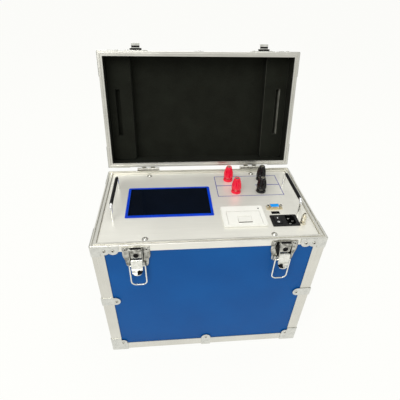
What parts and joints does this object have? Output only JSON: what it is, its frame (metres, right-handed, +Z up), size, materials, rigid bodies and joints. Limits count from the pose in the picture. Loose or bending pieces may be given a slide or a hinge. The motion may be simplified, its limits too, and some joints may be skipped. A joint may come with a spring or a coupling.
{
  "type": "transformer dc resistance tester",
  "caption": "Portable winding-resistance tester in a lidded carrying case, with touch screen, printer, terminals, sockets and handles on its panel",
  "frame": {"origin": "on the bench, under the middle of the case's footprint", "axes": "X along the front of the case, to the right as its user sees it; Y from the front to the hinges; Z up"},
  "size_m": [0.4028, 0.3691, 0.5556],
  "materials": {
    "blue_laminate": "blue laminate, faintly textured, satin",
    "satin_aluminium": "natural anodised aluminium extrusion, satin",
    "brushed_plate": "light grey satin aluminium plate",
    "plated_steel": "zinc or nickel plated pressed steel",
    "bright_steel": "bright plated steel",
    "black_rubber": "black rubber",
    "screen_surround": "royal blue bezel",
    "screen_pane": "dark touch screen, switched off",
    "green_board": "green circuit board",
    "ivory_plastic": "ivory moulded plastic",
    "dark_plastic": "black moulded plastic",
    "white_paper": "thermal paper roll",
    "gold_shell": "yellow passivated shell",
    "blue_insert": "sky-blue connector insert",
    "brass_parts": "brass, partly nickel plated",
    "red_plastic": "red moulded plastic, glossy",
    "black_plastic": "black moulded plastic, glossy",
    "galvanised_case": "galvanised sheet",
    "black_anodised": "black anodised",
    "transformer_wrap": "varnished polyester tape over copper",
    "black_foam": "black cut foam"
  },
  "bodies": {
    "case": {"case_wall_panels": "blue_laminate", "case_base_panel": "blue_laminate", "case_edge_trims": "satin_aluminium", "case_rim_frame": "satin_aluminium", "case_corner_braces": "plated_steel", "case_edge_clips": "plated_steel", "case_rivets": "bright_steel", "rubber_feet": "black_rubber", "machine_screws": "bright_steel", "hinge_case_leaves": "plated_steel", "pivot_pins": "bright_steel", "latch_plates": "plated_steel", "instrument_panel": "brushed_plate", "panel_support_frame": "satin_aluminium", "screen_frame": "screen_surround", "screen_glass": "screen_pane", "display_board": "green_board", "printer_housing": "ivory_plastic", "printer_head": "dark_plastic", "paper_roll": "white_paper", "serial_shell": "gold_shell", "serial_insert": "blue_insert", "usb_socket": "dark_plastic", "inlet_housing": "dark_plastic", "inlet_pins": "bright_steel", "terminal_studs": "brass_parts", "red_collars": "red_plastic", "black_collars": "black_plastic", "handle_rods": "bright_steel", "handle_grips": "black_rubber", "chassis_tray": "satin_aluminium", "board_standoffs": "gold_shell", "measuring_board": "green_board", "power_supply": "galvanised_case", "heat_sink": "black_anodised", "mains_transformer": "transformer_wrap"},
    "lid": {"lid_top_panel": "blue_laminate", "lid_wall_panels": "blue_laminate", "lid_edge_trims": "satin_aluminium", "lid_rim_frame": "satin_aluminium", "lid_corner_braces": "plated_steel", "lid_edge_clips": "plated_steel", "lid_rivets": "bright_steel", "lid_lining": "black_foam", "lid_foam_blocks": "black_foam", "lid_catches": "plated_steel", "hinge_lid_leaves": "plated_steel"},
    "latch_lever_left": {"latch_lever_left": "bright_steel"},
    "latch_lever_right": {"latch_lever_right": "bright_steel"},
    "latch_bail_left": {"latch_bail_left": "bright_steel"},
    "latch_bail_right": {"latch_bail_right": "bright_steel"},
    "printer_door": {"printer_door": "ivory_plastic"},
    "printer_door_latch": {"printer_door_latch": "ivory_plastic"},
    "rocker_switch": {"rocker_switch": "dark_plastic"},
    "red_cap_back": {"red_cap_back": "red_plastic"},
    "red_cap_front": {"red_cap_front": "red_plastic"},
    "black_cap_back": {"black_cap_back": "black_plastic"},
    "black_cap_front": {"black_cap_front": "black_plastic"},
    "ground_nut": {"ground_nut": "brass_parts"}
  },
  "joints": [
    {"name": "lid_hinge", "type": "hinge", "parent": "case", "child": "lid", "pos_m": [0, 0.1212, 0.31115], "axis": [1, 0, 0], "range_deg": [0, 102.9]},
    {"name": "lever_left", "type": "hinge", "parent": "case", "child": "latch_lever_left", "pos_m": [-0.1254, -0.1255, 0.284], "axis": [1, 0, 0], "range_deg": [-100, 0]},
    {"name": "bail_left", "type": "hinge", "parent": "latch_lever_left", "child": "latch_bail_left", "pos_m": [-0.1254, -0.123, 0.2695], "axis": [-1, 0, 0], "range_deg": [0, 180]},
    {"name": "lever_right", "type": "hinge", "parent": "case", "child": "latch_lever_right", "pos_m": [0.1254, -0.1255, 0.284], "axis": [1, 0, 0], "range_deg": [-100, 0]},
    {"name": "bail_right", "type": "hinge", "parent": "latch_lever_right", "child": "latch_bail_right", "pos_m": [0.1254, -0.123, 0.2695], "axis": [-1, 0, 0], "range_deg": [0, 180]},
    {"name": "printer_door_hinge", "type": "hinge", "parent": "case", "child": "printer_door", "pos_m": [0.0663, -0.0716, 0.3095], "axis": [-1, 0, 0], "range_deg": [-75, 0]},
    {"name": "printer_latch_hinge", "type": "hinge", "parent": "printer_door", "child": "printer_door_latch", "pos_m": [0.0663, -0.052, 0.3094], "axis": [1, 0, 0], "range_deg": [-40, 0]},
    {"name": "power_rocker", "type": "hinge", "parent": "case", "child": "rocker_switch", "pos_m": [0.1269, -0.0635, 0.307], "axis": [-1, 0, 0], "range_deg": [0, 14]},
    {"name": "red_cap_back_turn", "type": "hinge", "parent": "case", "child": "red_cap_back", "pos_m": [0.0567, 0.0774, 0.3154], "axis": [0, 0, 1], "range_deg": [0, 1080]},
    {"name": "red_cap_front_turn", "type": "hinge", "parent": "case", "child": "red_cap_front", "pos_m": [0.0664, 0.0328, 0.3154], "axis": [0, 0, 1], "range_deg": [0, 1080]},
    {"name": "black_cap_back_turn", "type": "hinge", "parent": "case", "child": "black_cap_back", "pos_m": [0.1277, 0.0774, 0.3154], "axis": [0, 0, 1], "range_deg": [0, 1080]},
    {"name": "black_cap_front_turn", "type": "hinge", "parent": "case", "child": "black_cap_front", "pos_m": [0.118, 0.0328, 0.3154], "axis": [0, 0, 1], "range_deg": [0, 1080]},
    {"name": "ground_nut_turn", "type": "hinge", "parent": "case", "child": "ground_nut", "pos_m": [0.1706, -0.072, 0.314], "axis": [0, 0, 1], "range_deg": [0, 1080]}
  ]
}
